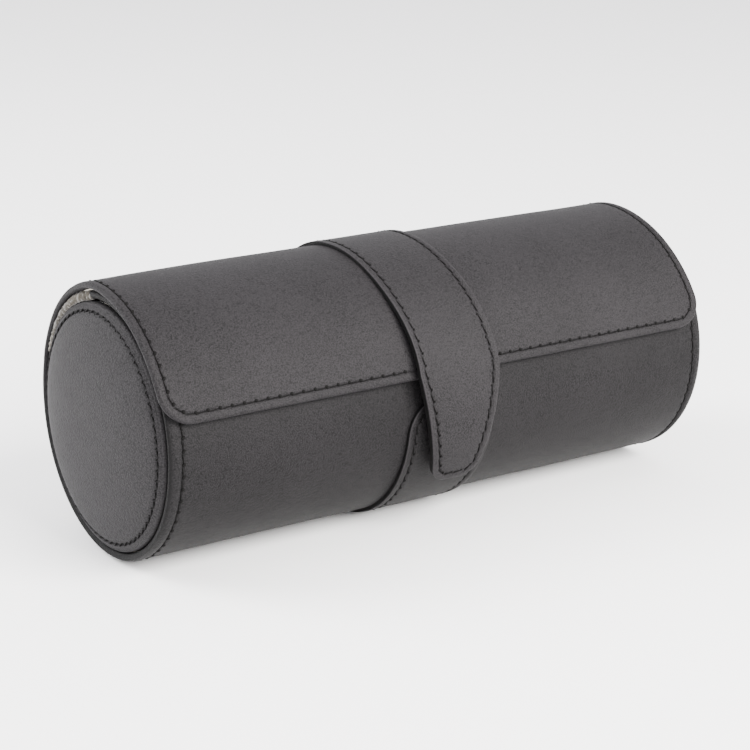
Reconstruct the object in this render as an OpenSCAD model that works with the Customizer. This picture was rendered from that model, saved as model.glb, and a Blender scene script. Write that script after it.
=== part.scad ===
// Travel case for three watches: a stiffened leather tube with a wrap-around lid, a strap whose
// tapering tab closes it by a hidden magnet, padded ends, two dividers and three watch cushions.
// The tube runs along X, the front is -Y, and the belt's flattened underside stands at Z = 0.
// Angles around the tube start at the front and run up and over the top: 0 front, 90 top, 180 back.

/* [Tube] */
// Length of the tube wall
case_len = 202.5; // [150:0.5:260]
// Outer diameter of the tube wall
case_d = 82.6; // [78:0.2:96]
// Angle of the wall's free edge, which ends just past the top, under the lid
wall_edge_a = 98; // [88:1:105]
// Angle of the fold line at the back, where the lid turns
fold_a = 165; // [155:1:172]

/* [Sheet layers] */
// Thickness of the outer leather
leather_t = 1.4; // [0.8:0.1:1.6]
// Thickness of the stiffening board
board_t = 0.7; // [0.6:0.1:1.4]
// Thickness of the suede lining
suede_t = 0.5; // [0.4:0.1:1]
// Width of the leather turned in around the edges of a sheet
turn_in = 4; // [2:0.5:7]
// Clearance between pieces that lie loosely against each other
play = 0.3; // [0.2:0.05:0.5]

/* [Lid] */
// Place of the lid's middle along the tube, a little left of the wall's
lid_x = -1.5; // [-3:0.5:3]
// Clearance between the closed lid and the wall under it
lid_gap = 0.4; // [0.3:0.1:1]
// Angle of the lid's front edge
lid_edge_a = 14; // [8:0.5:30]
// Radius of the lid's front corners
lid_corner_r = 10; // [6:0.5:20]

/* [Strap and belt] */
// Width of the strap over the lid and of the belt around the tube
strap_w = 32; // [24:0.5:44]
// Place of the strap's centre line along the tube
strap_x = -2.5; // [-20:0.5:20]
// Thickness of the strap's leather
strap_leather_t = 1; // [0.8:0.1:1.4]
// Thickness of the backing under the strap's leather
strap_backing_t = 0.7; // [0.5:0.1:1]
// Angle of the belt's round end, hidden under the tab
belt_end_a = 5; // [-5:1:8]
// Corner radius of the belt's end
belt_corner_r = 11; // [6:0.5:12]
// Height by which the belt's underside is flattened where the case stands
flat_drop = 0.5; // [0.4:0.05:0.8]

/* [Closing tab] */
// Length of the tab below the lid's front edge
tab_len = 36; // [28:1:44]
// Width of the tab's round tip
tab_tip_w = 16; // [13:0.5:24]
// Corner radius of the tip
tab_tip_r = 5.5; // [4:0.5:6]
// Thickness of the tab's backing, which holds the magnet
tab_backing_t = 1.2; // [1.1:0.1:1.8]
// Distance that the tab's bend is eased by, which makes its tip stand off the belt
tab_ease = 3; // [2:0.5:6]
// Diameter of the hidden magnet and of its keeper plate
magnet_d = 10; // [8:0.5:11]
// Thickness of the magnet
magnet_t = 0.8; // [0.5:0.1:0.9]
// Thickness of the keeper plate in the belt
keeper_t = 0.6; // [0.3:0.1:0.7]

/* [Padded ends] */
// Radial fit between an end and the wall's lining
end_fit = 0.3; // [0.2:0.05:0.6]
// Distance from the wall's end to the stitched ring of an end
ring_proud = 2.1; // [1:0.1:4]
// Width of the plain rim outside the stitched ring
rim_w = 2.5; // [2:0.1:5]
// Slope of the rim from the ring back to its edge
rim_drop = 1.1; // [0.5:0.1:2]
// Height of the padding above the ring
dome_h = 3.2; // [1:0.1:8]
// Thickness of an end's board
end_board_t = 1.6; // [1:0.1:3]

/* [Dividers and cushions] */
// Thickness of a divider's board
divider_board_t = 1.6; // [1:0.1:3]
// Height of a divider's straight top edge from the tube's axis, towards the mouth
divider_top = 26; // [10:1:30]
// Room between a cushion and the panels at its two ends
cushion_gap = 3; // [1:0.5:8]
// Width of a cushion across the mouth
cushion_w = 40; // [30:1:41]
// Height of a cushion from the floor of the tube towards the mouth
cushion_h = 55; // [44:1:58]

/* [Hidden] */
$fn = 96;

LEFT = -1;
MIDDLE = 0;
RIGHT = 1;
leather = "#4a484b";
board = "#8b7f6d";
suede = "#b9ad9c";
foam = "#d8d4c8";
steel = "#9aa0a6";

// Overshoot of a shape that cuts, and how far a corner's arc runs out past the edges it joins
cut = 1;
corner_overrun = 0.05;

// Sheets: the outer face, and the depths of the layers below it
wall_r = case_d / 2;
sheet_t = leather_t + board_t + suede_t;
wall_in_r = wall_r - sheet_t;
wall_half = case_len / 2;
turn_a = turn_in / wall_r * 180 / PI;
fold_gap_a = play / 2 / wall_r * 180 / PI;

// Lid: a front arc around the tube's axis, and a back arc that starts at the fold and meets it on top
lid_r = wall_r + lid_gap + sheet_t;
lid_rise = (lid_r * lid_r - wall_r * wall_r) / (2 * (lid_r - wall_r * sin(fold_a)));
lid_back_r = lid_r - lid_rise;
lid_fold_a = atan2(wall_r * sin(fold_a) - lid_rise, wall_r * cos(fold_a));

// Strap, belt and the height of the tube's axis over the floor
strap_t = strap_leather_t + strap_backing_t;
belt_r = wall_r + strap_t;
axis_h = belt_r - flat_drop;

// Tab: bent on a larger radius than the lid, so that it straightens away from the belt
tab_t = strap_leather_t + tab_backing_t;
tab_r = lid_r + strap_t + tab_ease;
tab_span_a = tab_len / tab_r * 180 / PI;
tab_mid_a = lid_edge_a - tab_span_a / 2;
tab_half = tab_r * sin(tab_span_a / 2);
magnet_v = -tab_half + tab_tip_r + magnet_d / 2 - 1;
keeper_a = tab_mid_a + asin(magnet_v / tab_r);

// Ends: the stack from the stitched ring inward
end_r = wall_in_r - end_fit;
ring_r = end_r - rim_w;
ring_x = wall_half + ring_proud;
end_board_r = end_r - leather_t;
end_board_front = ring_x - rim_drop - leather_t;
end_board_back = end_board_front - end_board_t;
end_face = end_board_back - suede_t;
rim_round = min(rim_drop, rim_w / 2);

// Dividers and cushions, set square to the middle of the mouth
mouth_a = (wall_edge_a + fold_a) / 2;
divider_t = divider_board_t + 2 * suede_t;
bay_len = (2 * end_face - 2 * divider_t) / 3;
bay_step = bay_len + divider_t;
cushion_len = bay_len - 2 * cushion_gap;
cushion_drop = wall_in_r - play - cushion_h / 2;

// ---- Shared shapes ----

module at_axis() translate([0, 0, axis_h]) children();

// Turns +Z to the given angle around the tube
module toward(angle) rotate([90 - angle, 0, 0]) children();

// Bends a section around the tube between two angles. The section's x is height above the radius.
module bend(radius, from, to)
    rotate([0, 90, 0])
    rotate([0, 0, 270 - from])
    rotate_extrude(angle = from - to)
    translate([radius, 0])
    children();

module around_wall(top_a)
    bend(wall_r, top_a, fold_a + fold_gap_a - 360) children();

module over_lid(front_a)
    union() {
        translate([0, 0, lid_rise])
            mirror([0, 1, 0])
            bend(lid_back_r, 90, 180 - lid_fold_a + fold_gap_a)
            children();
        bend(lid_r, 90, front_a) children();
    }

// Moves to the centre of the tab's bend, which lies behind the tube's axis
module at_tab_centre()
    translate([strap_x, tab_ease * cos(lid_edge_a), -tab_ease * sin(lid_edge_a)])
    children();

module along_tab()
    bend(tab_r, lid_edge_a - fold_gap_a, lid_edge_a - tab_span_a) children();

// Section of one layer, between two heights over the sheet's outer face
module layer(low, high, half)
    translate([low, -half]) square([high - low, 2 * half]);

// Section of a whole sheet, with its two ends turned round
module turned_section(thickness, half) {
    layer(-thickness, 0, half - thickness / 2);
    for (side = [LEFT, RIGHT])
        translate([-thickness / 2, side * (half - thickness / 2)]) circle(d = thickness);
}

// What is cut away to round the corners of a strip that ends at the given angle. The strip runs
// up the tube from there where way is 1, and down where it is -1.
module corner_scrap(width, radius, angle, way, inner_r, outer_r)
    toward(angle)
    translate([0, 0, sqrt(inner_r * inner_r - radius * radius) - cut])
    linear_extrude(outer_r - inner_r + 4 * cut)
    mirror([0, way < 0 ? 1 : 0])
    for (side = [LEFT, RIGHT])
        translate([side * (width / 2 - radius), radius])
            difference() {
                translate([side < 0 ? -radius - cut : 0, -radius - cut]) square(radius + cut);
                circle(radius + corner_overrun);
            }

module along_lid() translate([lid_x, 0, 0]) children();

module along_strap() translate([strap_x, 0, 0]) children();

// ---- Tube wall: leather, board and suede ----

module wall_leather()
    color(leather)
    at_axis()
    difference() {
        around_wall(wall_edge_a) turned_section(sheet_t, wall_half);
        around_wall(wall_edge_a - turn_a)
            layer(-sheet_t - cut, -leather_t, wall_half - turn_in);
    }

module wall_board()
    color(board)
    at_axis()
    around_wall(wall_edge_a - turn_a)
    layer(-leather_t - board_t, -leather_t, wall_half - turn_in);

module wall_lining()
    color(suede)
    at_axis()
    around_wall(wall_edge_a - turn_a)
    layer(-sheet_t, -leather_t - board_t, wall_half - turn_in);

// ---- Lid ----

module lid_leather()
    color(leather)
    at_axis()
    along_lid()
    difference() {
        over_lid(lid_edge_a) turned_section(sheet_t, wall_half);
        over_lid(lid_edge_a + turn_a)
            layer(-sheet_t - cut, -leather_t, wall_half - turn_in);
        corner_scrap(case_len, lid_corner_r, lid_edge_a, 1, lid_r - sheet_t, lid_r);
    }

module lid_board()
    color(board)
    at_axis()
    along_lid()
    over_lid(lid_edge_a + turn_a)
    layer(-leather_t - board_t, -leather_t, wall_half - turn_in);

module lid_lining()
    color(suede)
    at_axis()
    along_lid()
    over_lid(lid_edge_a + turn_a)
    layer(-sheet_t, -leather_t - board_t, wall_half - turn_in);

module lid_strap()
    color(leather)
    at_axis()
    along_strap()
    over_lid(lid_edge_a)
    layer(strap_backing_t, strap_t, strap_w / 2);

module lid_strap_backing()
    color(leather)
    at_axis()
    along_strap()
    over_lid(lid_edge_a)
    layer(0, strap_backing_t, strap_w / 2);

// ---- Closing tab ----

// Point where a line from p touches a circle of the given radius on its right side
function tangent_point(p, centre, radius) =
    let (
        d = p - centre,
        a = atan2(d[1], d[0]) - acos(radius / norm(d))
    )
    centre + radius * [cos(a), sin(a)];

// A vector made longer by the overshoot of a shape that cuts
function longer(v) = v * (1 + cut / norm(v));

// Outline of the tab, seen square on: as wide as the strap on top, with a narrow round tip
module tab_outline() {
    root = [strap_w / 2, tab_half];
    centre = [tab_tip_w / 2 - tab_tip_r, tab_tip_r - tab_half];
    touch = tangent_point(root, centre, tab_tip_r);
    corner = root + (touch - root) * 2 * tab_half / (root[1] - touch[1]);
    right = [corner, root, root + [0, cut]];
    left = [for (i = [2:-1:0]) [-right[i][0], right[i][1]]];
    difference() {
        polygon(concat(right, left));
        for (side = [LEFT, RIGHT])
            mirror([side < 0 ? 1 : 0, 0])
                translate(centre)
                difference() {
                    polygon([
                        [0, 0], [0, -tab_tip_r - cut],
                        longer(corner - centre), longer(touch - centre)
                    ]);
                    circle(tab_tip_r + corner_overrun);
                }
    }
}

module tab_layer(low, high)
    at_tab_centre()
    intersection() {
        along_tab() layer(low, high, strap_w);
        toward(tab_mid_a) linear_extrude(2 * tab_r) tab_outline();
    }

module magnet_bore(angle, across)
    toward(angle)
    translate([0, across, 0])
    cylinder(d = magnet_d, h = 2 * tab_r);

module tab_leather()
    color(leather)
    at_axis()
    tab_layer(-strap_leather_t, 0);

module tab_magnet_shape(high)
    at_tab_centre()
    intersection() {
        along_tab() layer(-strap_leather_t - magnet_t, high, strap_w);
        magnet_bore(tab_mid_a, magnet_v);
    }

module tab_backing()
    color(leather)
    at_axis()
    difference() {
        tab_layer(-tab_t, -strap_leather_t);
        tab_magnet_shape(cut);
    }

module tab_magnet()
    color(steel)
    at_axis()
    tab_magnet_shape(-strap_leather_t);

// ---- Belt around the tube, with the keeper plate for the magnet ----

module belt_layer(low, high)
    along_strap()
    difference() {
        around_wall(belt_end_a) layer(low, high, strap_w / 2);
        corner_scrap(strap_w, belt_corner_r, belt_end_a, -1, wall_r, belt_r);
        translate([0, 0, -axis_h - belt_r])
            cube(2 * belt_r, center = true);
    }

module belt_leather()
    color(leather)
    at_axis()
    belt_layer(strap_backing_t, strap_t);

module belt_backing()
    color(leather)
    at_axis()
    difference() {
        belt_layer(0, strap_backing_t);
        along_strap() magnet_bore(keeper_a, 0);
    }

module belt_keeper_plate()
    color(steel)
    at_axis()
    along_strap()
    intersection() {
        around_wall(belt_end_a)
            layer(strap_backing_t - keeper_t, strap_backing_t, magnet_d);
        magnet_bore(keeper_a, 0);
    }

// ---- Padded ends ----

module on_end(side)
    mirror([side < 0 ? 1 : 0, 0, 0])
    rotate([0, 90, 0])
    rotate_extrude()
    children();

// Domed face from the middle to the ring, as points of radius and distance along the tube
dome_steps = 14;
function dome(level) = [
    for (i = [0:dome_steps])
        let (part = i / dome_steps)
        [ring_r * part, level + dome_h * (1 - pow(part, 3))]
];

module end_cover(side)
    color(leather)
    at_axis()
    on_end(side) {
        inner = dome(ring_x - leather_t);
        polygon(concat(
            dome(ring_x),
            [[end_r - rim_round, ring_x - rim_drop + rim_round / 2]],
            [[end_r, ring_x - rim_drop - rim_round / 2]],
            [[end_r, end_board_back], [end_board_r, end_board_back]],
            [[end_board_r, end_board_front], [ring_r, end_board_front]],
            [for (i = [dome_steps:-1:0]) inner[i]]
        ));
    }

module end_pad(side)
    color(foam)
    at_axis()
    on_end(side)
    polygon(concat(
        dome(ring_x - leather_t),
        [[ring_r, end_board_front], [0, end_board_front]]
    ));

module end_board(side)
    color(board)
    at_axis()
    on_end(side)
    translate([0, end_board_back]) square([end_board_r, end_board_t]);

module end_lining(side)
    color(suede)
    at_axis()
    on_end(side)
    translate([0, end_face]) square([end_r, suede_t]);

// ---- Dividers between the bays ----

// A round panel with a straight top edge, standing across the tube
module across_tube(thickness)
    toward(mouth_a)
    rotate([90, 0, 90])
    linear_extrude(thickness, center = true)
    children();

module divider_outline(radius, top)
    difference() {
        circle(radius);
        translate([-2 * radius, top]) square(4 * radius);
    }

module at_divider(side)
    at_axis()
    translate([side * bay_step / 2, 0, 0])
    children();

module divider_board(side)
    color(board)
    at_divider(side)
    across_tube(divider_board_t)
    divider_outline(end_r, divider_top - suede_t);

module divider_suede(side)
    color(suede)
    at_divider(side)
    difference() {
        across_tube(divider_t) divider_outline(end_r, divider_top);
        across_tube(divider_board_t) divider_outline(end_r + cut, divider_top - suede_t);
    }

// ---- Watch cushions ----

module cushion_outline(inset) {
    straight = (cushion_h - cushion_w) / 2;
    radius = cushion_w / 2 - inset;
    for (side = [LEFT, RIGHT])
        translate([0, side * straight]) circle(radius);
    square([2 * radius, 2 * straight], center = true);
}

module at_cushion(bay)
    at_axis()
    toward(mouth_a)
    translate([bay * bay_step, 0, -cushion_drop])
    rotate([90, 0, 90])
    children();

module cushion_sleeve(bay)
    color(suede)
    at_cushion(bay)
    linear_extrude(cushion_len, center = true)
    difference() {
        cushion_outline(0);
        cushion_outline(suede_t);
    }

module cushion_ends(bay)
    color(suede)
    at_cushion(bay)
    for (side = [LEFT, RIGHT])
        translate([0, 0, side * (cushion_len - suede_t) / 2])
            linear_extrude(suede_t, center = true)
            cushion_outline(suede_t);

module cushion_foam(bay)
    color(foam)
    at_cushion(bay)
    linear_extrude(cushion_len - 2 * suede_t, center = true)
    cushion_outline(suede_t);

// ---- One line for each node ----

wall_leather();
wall_board();
wall_lining();
lid_leather();
lid_board();
lid_lining();
lid_strap();
lid_strap_backing();
tab_leather();
tab_backing();
tab_magnet();
belt_leather();
belt_backing();
belt_keeper_plate();
end_cover(LEFT);  // left_end_cover
end_pad(LEFT);  // left_end_pad
end_board(LEFT);  // left_end_board
end_lining(LEFT);  // left_end_lining
end_cover(RIGHT);  // right_end_cover
end_pad(RIGHT);  // right_end_pad
end_board(RIGHT);  // right_end_board
end_lining(RIGHT);  // right_end_lining
divider_board(LEFT);  // left_divider_board
divider_suede(LEFT);  // left_divider_suede
divider_board(RIGHT);  // right_divider_board
divider_suede(RIGHT);  // right_divider_suede
cushion_sleeve(LEFT);  // left_cushion_sleeve
cushion_ends(LEFT);  // left_cushion_ends
cushion_foam(LEFT);  // left_cushion_foam
cushion_sleeve(MIDDLE);  // middle_cushion_sleeve
cushion_ends(MIDDLE);  // middle_cushion_ends
cushion_foam(MIDDLE);  // middle_cushion_foam
cushion_sleeve(RIGHT);  // right_cushion_sleeve
cushion_ends(RIGHT);  // right_cushion_ends
cushion_foam(RIGHT);  // right_cushion_foam
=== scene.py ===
import math

import bmesh
import bpy
import numpy as np
from mathutils import Matrix, Vector, noise


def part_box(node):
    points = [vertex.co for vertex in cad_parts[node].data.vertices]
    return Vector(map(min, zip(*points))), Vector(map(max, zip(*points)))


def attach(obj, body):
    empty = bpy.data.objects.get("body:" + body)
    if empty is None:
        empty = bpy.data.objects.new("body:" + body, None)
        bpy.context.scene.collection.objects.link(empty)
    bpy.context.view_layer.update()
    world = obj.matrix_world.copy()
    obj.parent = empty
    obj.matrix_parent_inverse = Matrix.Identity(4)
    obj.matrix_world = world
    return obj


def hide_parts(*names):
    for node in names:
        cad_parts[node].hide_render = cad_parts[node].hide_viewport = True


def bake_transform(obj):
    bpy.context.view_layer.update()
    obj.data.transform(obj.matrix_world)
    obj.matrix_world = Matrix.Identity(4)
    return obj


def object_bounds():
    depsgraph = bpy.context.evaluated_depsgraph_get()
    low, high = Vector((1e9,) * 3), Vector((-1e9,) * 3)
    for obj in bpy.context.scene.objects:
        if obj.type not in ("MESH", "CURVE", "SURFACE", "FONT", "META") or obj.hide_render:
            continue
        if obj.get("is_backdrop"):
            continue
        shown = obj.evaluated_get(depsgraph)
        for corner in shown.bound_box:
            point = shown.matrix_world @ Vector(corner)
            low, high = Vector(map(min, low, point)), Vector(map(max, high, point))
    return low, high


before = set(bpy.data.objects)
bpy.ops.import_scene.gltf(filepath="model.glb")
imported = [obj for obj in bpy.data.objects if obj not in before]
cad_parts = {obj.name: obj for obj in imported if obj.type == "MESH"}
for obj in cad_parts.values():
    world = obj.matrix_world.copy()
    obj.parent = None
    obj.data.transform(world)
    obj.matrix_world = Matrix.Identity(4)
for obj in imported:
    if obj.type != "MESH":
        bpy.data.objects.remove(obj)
cad_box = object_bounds()

# ---- Sizes of the case, in millimetres and degrees ----

MM = 0.001


def extent(node, axis=0):
    """Lowest and highest place of a solid along an axis, in millimetres."""
    low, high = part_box(node)
    return low[axis] / MM, high[axis] / MM


def middle_and_half(node, axis=0):
    low, high = extent(node, axis)
    return (low + high) / 2, (high - low) / 2


# Sheets: the wall lies on a circle, and the lid on a front arc and a back arc from the fold.
# The back arc's radius and centre follow from meeting the wall's circle on the fold line.
SHEET_T = 2.6
AXIS_H, WALL_R = middle_and_half("wall_leather", 2)
WALL_HALF = middle_and_half("wall_leather")[1]
LID_EDGE_A = 14.0
FOLD_A = 165.0
WALL_EDGE_A = 98.0
LID_CORNER_R = 10.0
LID_R = extent("lid_leather", 2)[1] - AXIS_H
FOLD_UP_Z = WALL_R * math.sin(math.radians(FOLD_A))
LID_RISE = (LID_R**2 - WALL_R**2) / (2 * (LID_R - FOLD_UP_Z))
LID_BACK_R = LID_R - LID_RISE
LID_FOLD_A = math.degrees(
    math.atan2(FOLD_UP_Z - LID_RISE, WALL_R * math.cos(math.radians(FOLD_A)))
)
SEAM_IN = 2.95
SKIVED_T = 2.0

# Strap, tab and belt
STRAP_X, STRAP_HALF = middle_and_half("belt_leather")
STRAP_T = extent("belt_leather", 1)[1] - WALL_R
STRAP_SEAM_IN = 2.45
TAB_T = 2.2
TAB_EASE = 3.0
TAB_R = LID_R + STRAP_T + TAB_EASE
TAB_LEN = 36.0
TAB_TIP_HALF = 8.0
TAB_TIP_R = 5.5
BELT_END_A = 5.0
BELT_CORNER_R = 11.0

# Ends
DOME_H = 3.2
RIM_DROP = 1.1
END_SUNK = 0.95
END_DROP = 0.35
END_R = middle_and_half("right_end_cover", 1)[1] - 0.2
RING_R = END_R - 2.75
FACING_R = 38.0
END_BACK_X = extent("right_end_cover")[0]
RING_X = extent("right_end_cover")[1] - DOME_H - END_SUNK
END_FACE_X = extent("right_end_lining")[0]

# Dividers and cushions
MOUTH_A = (WALL_EDGE_A + FOLD_A) / 2
LINING_R = WALL_R - SHEET_T
BAY_STEP = 2 * middle_and_half("right_divider_suede")[0]
DIVIDER_T = 2 * middle_and_half("right_divider_suede")[1]
DIVIDER_TOP = 26.0
CUSHION_LEN = 2 * middle_and_half("middle_cushion_sleeve")[1]
CUSHION_W = 40.0
CUSHION_H = 55.0
CUSHION_DROP = LINING_R - 0.3 - CUSHION_H / 2

# Half the length of the strips that bend at the fold and at the tab's root, and how far apart
# the sheets are cut across, there and elsewhere
FOLD_HALF = 6.0
ROOT_HALF = 4.0
FOLD_CUT = 0.75
ROOT_CUT = 0.6
SHEET_CUT = 2.2
STRAP_CUT = 2.0
TAB_CUT = 1.8

# Seams: the step from stitch to stitch, the thread's width, how far each stitch is turned off the
# line, and the thick end that dives into the hole (length, width, slant)
CASE_STITCH = dict(pitch=4.0, width=0.27, tilt=4.0, bite=(1.85, 1.1, -50))
STRAP_STITCH = dict(pitch=3.8, width=0.40, tilt=11, bite=(1.15, 0.60, -56))
RING_STITCH = dict(pitch=3.3, width=0.50, tilt=24, bite=(1.7, 0.60, -62))

# Camera: degrees around and over the case, millimetres away, aside and down, and its lens
CAMERA_TURN = -34.38
CAMERA_RISE = 16.41
CAMERA_AWAY = 684
CAMERA_LEFT = 2.4
CAMERA_DOWN = 0.8
LENS, SENSOR = 101.2, 36


def outward(angle):
    """Direction away from the tube's axis, at an angle round from the front over the top."""
    return Vector((0, -math.cos(math.radians(angle)), math.sin(math.radians(angle))))


def onward(angle):
    """Direction around the tube there, toward smaller angles."""
    return Vector((0, -math.sin(math.radians(angle)), -math.cos(math.radians(angle))))


# ---- Ways around the case: arcs that run on into each other, seen from the left end ----


class Way:
    """Arcs (centre y, centre z, radius, first angle, last angle). Length 0 is at the start of
    the arc numbered zero_arc, and runs up over the top and down the back."""

    def __init__(self, arcs, zero_arc=0):
        self.arcs = np.array(arcs, float)
        spans = np.radians(self.arcs[:, 4] - self.arcs[:, 3]) * self.arcs[:, 2]
        ends = np.cumsum(spans)
        self.starts = ends - spans - (ends - spans)[zero_arc]
        self.ends = self.starts + spans

    def place(self, along, over):
        """The (y, z) of points at a length along the way and a height over it."""
        which = np.searchsorted(self.starts[1:], along, side="right")
        cy, cz, radius, first, _ = self.arcs[which].T
        angle = np.radians(first) + (along - self.starts[which]) / radius
        return cy - (radius + over) * np.cos(angle), cz + (radius + over) * np.sin(angle)


def case_way(over):
    """The way around the lid and the wall, at a height over their outer face."""
    return [
        (0, AXIS_H, LID_R + over, LID_EDGE_A, 90),
        (0, AXIS_H + LID_RISE, LID_BACK_R + over, 90, LID_FOLD_A),
        (0, AXIS_H, WALL_R + over, FOLD_A, 360 + WALL_EDGE_A),
    ]


SHEET_WAY = Way(case_way(0))
FOLD_S = SHEET_WAY.ends[1]
FREE_EDGE_S = SHEET_WAY.ends[2]
FOLD_CUTS = [FOLD_S - FOLD_HALF, FOLD_S + FOLD_HALF]

TAB_SPAN_A = math.degrees(TAB_LEN / TAB_R)
TAB_CENTRE = (
    TAB_EASE * math.cos(math.radians(LID_EDGE_A)),
    AXIS_H - TAB_EASE * math.sin(math.radians(LID_EDGE_A)),
)
STRAP_WAY = Way(
    [(*TAB_CENTRE, TAB_R, LID_EDGE_A - TAB_SPAN_A, LID_EDGE_A)]
    + case_way(STRAP_T)[:2]
    + [(0, AXIS_H, WALL_R + STRAP_T, FOLD_A, 360 + BELT_END_A)],
    zero_arc=1,
)
STRAP_FOLD_S = STRAP_WAY.ends[2]
BELT_END_S = STRAP_WAY.ends[3]


class Skew:
    """Moves a flat sheet's left and right edge sideways, by lengths given along its way."""

    def __init__(self, middle, half, stations):
        self.left_edge, self.width = middle - half, 2 * half
        self.along, self.left, self.right = np.array(stations, float).T

    def moved(self, x, along):
        share = (x - self.left_edge) / self.width
        shift = 0.0
        for step in (-5, 0, 5):
            left = np.interp(along + step, self.along, self.left)
            right = np.interp(along + step, self.along, self.right)
            shift = shift + (left * (1 - share) + right * share) / 3
        return x + shift


# The lid and its strap lie a little askew, as stitched by hand
LID_SKEW = Skew(
    0,
    WALL_HALF,
    [
        (0, -2.35, -1.3),
        (9, -2.35, -1.6),
        (25, -2.35, -3.0),
        (45, -2.35, -4.0),
        (62, -2.3, -4.0),
        (80, -1.0, -2.6),
        (100, -0.1, -0.8),
        (110, 0, 0),
    ],
)
STRAP_SKEW = Skew(
    STRAP_X,
    STRAP_HALF,
    [
        (-36, 0.8, 0.8),
        (-5, 1.1, -0.2),
        (8, 0.9, -0.6),
        (20, 0.1, -1.3),
        (30, -0.8, -2.6),
        (48, -1.6, -4.1),
        (62, -1.9, -4.3),
        (90, -1.2, -2.4),
        (116, -0.5, -0.6),
        (150, -0.2, -0.1),
    ],
)


def lid_dip(x, along):
    """How far the lid is drawn in toward the left padded end, behind the top."""
    reach = 42.0
    angle = 90 + np.degrees((along - SHEET_WAY.ends[0]) / LID_BACK_R)
    depth = np.interp(
        angle, [92, 98, 104, 112, 126, 138, 152, 164], [0, 0.3, 0.8, 1.15, 1.2, 0.95, 0.55, 0]
    )
    return -depth * np.clip((reach - WALL_HALF - x) / reach, 0, 1) ** 1.5


# ---- Materials ----


class Signal:
    """What a node gives, which can be reckoned with like a number."""

    def __init__(self, finish, socket):
        self.finish, self.socket = finish, socket

    def reckon(self, operation, *terms):
        return self.finish.node("ShaderNodeMath", {"operation": operation}, dict(enumerate(terms)))

    def __add__(self, other):
        return self.reckon("ADD", self, other)

    def __radd__(self, other):
        return self.reckon("ADD", other, self)

    def __sub__(self, other):
        return self.reckon("SUBTRACT", self, other)

    def __rsub__(self, other):
        return self.reckon("SUBTRACT", other, self)

    def __mul__(self, other):
        return self.reckon("MULTIPLY", self, other)

    def __rmul__(self, other):
        return self.reckon("MULTIPLY", other, self)

    def clamped(self):
        return self.finish.node(
            "ShaderNodeClamp", {}, {"Value": self, "Min": 0.0, "Max": 1.0}
        )


class Finish:
    """A material with one principled shader, whose inputs are set or linked by name."""

    def __init__(self, name, **constants):
        self.material = bpy.data.materials.new(name)
        self.material.use_nodes = True
        self.tree = self.material.node_tree
        self.shader = self.tree.nodes["Principled BSDF"]
        for label, value in constants.items():
            self.shader.inputs[label.replace("_", " ")].default_value = value

    def node(self, kind, settings, inputs, output=0):
        made = self.tree.nodes.new(kind)
        for label, value in settings.items():
            if label == "stops":
                self.set_stops(made.color_ramp, value)
            else:
                setattr(made, label, value)
        for label, value in inputs.items():
            if isinstance(value, Signal):
                self.tree.links.new(value.socket, made.inputs[label])
            else:
                made.inputs[label].default_value = value
        return Signal(self, made.outputs[output])

    @staticmethod
    def set_stops(ramp, stops):
        while len(ramp.elements) < len(stops):
            ramp.elements.new(1.0)
        for element, (place, value) in zip(ramp.elements, stops):
            element.position = place
            element.color = (value, value, value, 1.0)

    def set(self, label, signal):
        self.tree.links.new(signal.socket, self.shader.inputs[label])

    # Patterns, all on the piece's own object coordinates

    def coords(self):
        return self.node("ShaderNodeTexCoord", {}, {}, "Object")

    def stretched(self, scale):
        return self.node("ShaderNodeMapping", {}, {"Vector": self.coords(), "Scale": scale})

    def noise(self, size, detail=2.0, rough=0.5, where=None):
        """Soft noise whose marks are about size metres across."""
        return self.node(
            "ShaderNodeTexNoise",
            {},
            {
                "Vector": where or self.coords(),
                "Scale": 1.0 / size,
                "Detail": detail,
                "Roughness": rough,
            },
        )

    def cells(self, size, where=None):
        return self.node(
            "ShaderNodeTexVoronoi",
            {"feature": "F1"},
            {"Vector": where or self.coords(), "Scale": 1.0 / size},
            "Distance",
        )

    def ramp(self, signal, stops):
        return self.node("ShaderNodeValToRGB", {"stops": stops}, {"Fac": signal})

    def between(self, share, low, high):
        """A colour between two, by a share from 0 to 1."""
        return self.node(
            "ShaderNodeMix",
            {"data_type": "RGBA"},
            {0: share, 6: low, 7: high},
            2,
        )

    def marked(self, name):
        return self.node("ShaderNodeAttribute", {"attribute_name": name}, {}, "Fac")

    def bump(self, height, distance, strength=1.0, onto=None):
        inputs = {"Height": height, "Distance": distance, "Strength": strength}
        if onto is not None:
            inputs["Normal"] = onto
        return self.node("ShaderNodeBump", {}, inputs)


def grey(value, warmth=0.0):
    return (value * (1 + warmth), value, value * (1 - warmth), 1.0)


def plum(value):
    """Dark grey with a hint of plum in it."""
    return (value * 1.06, value * 0.965, value * 1.05, 1.0)


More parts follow.
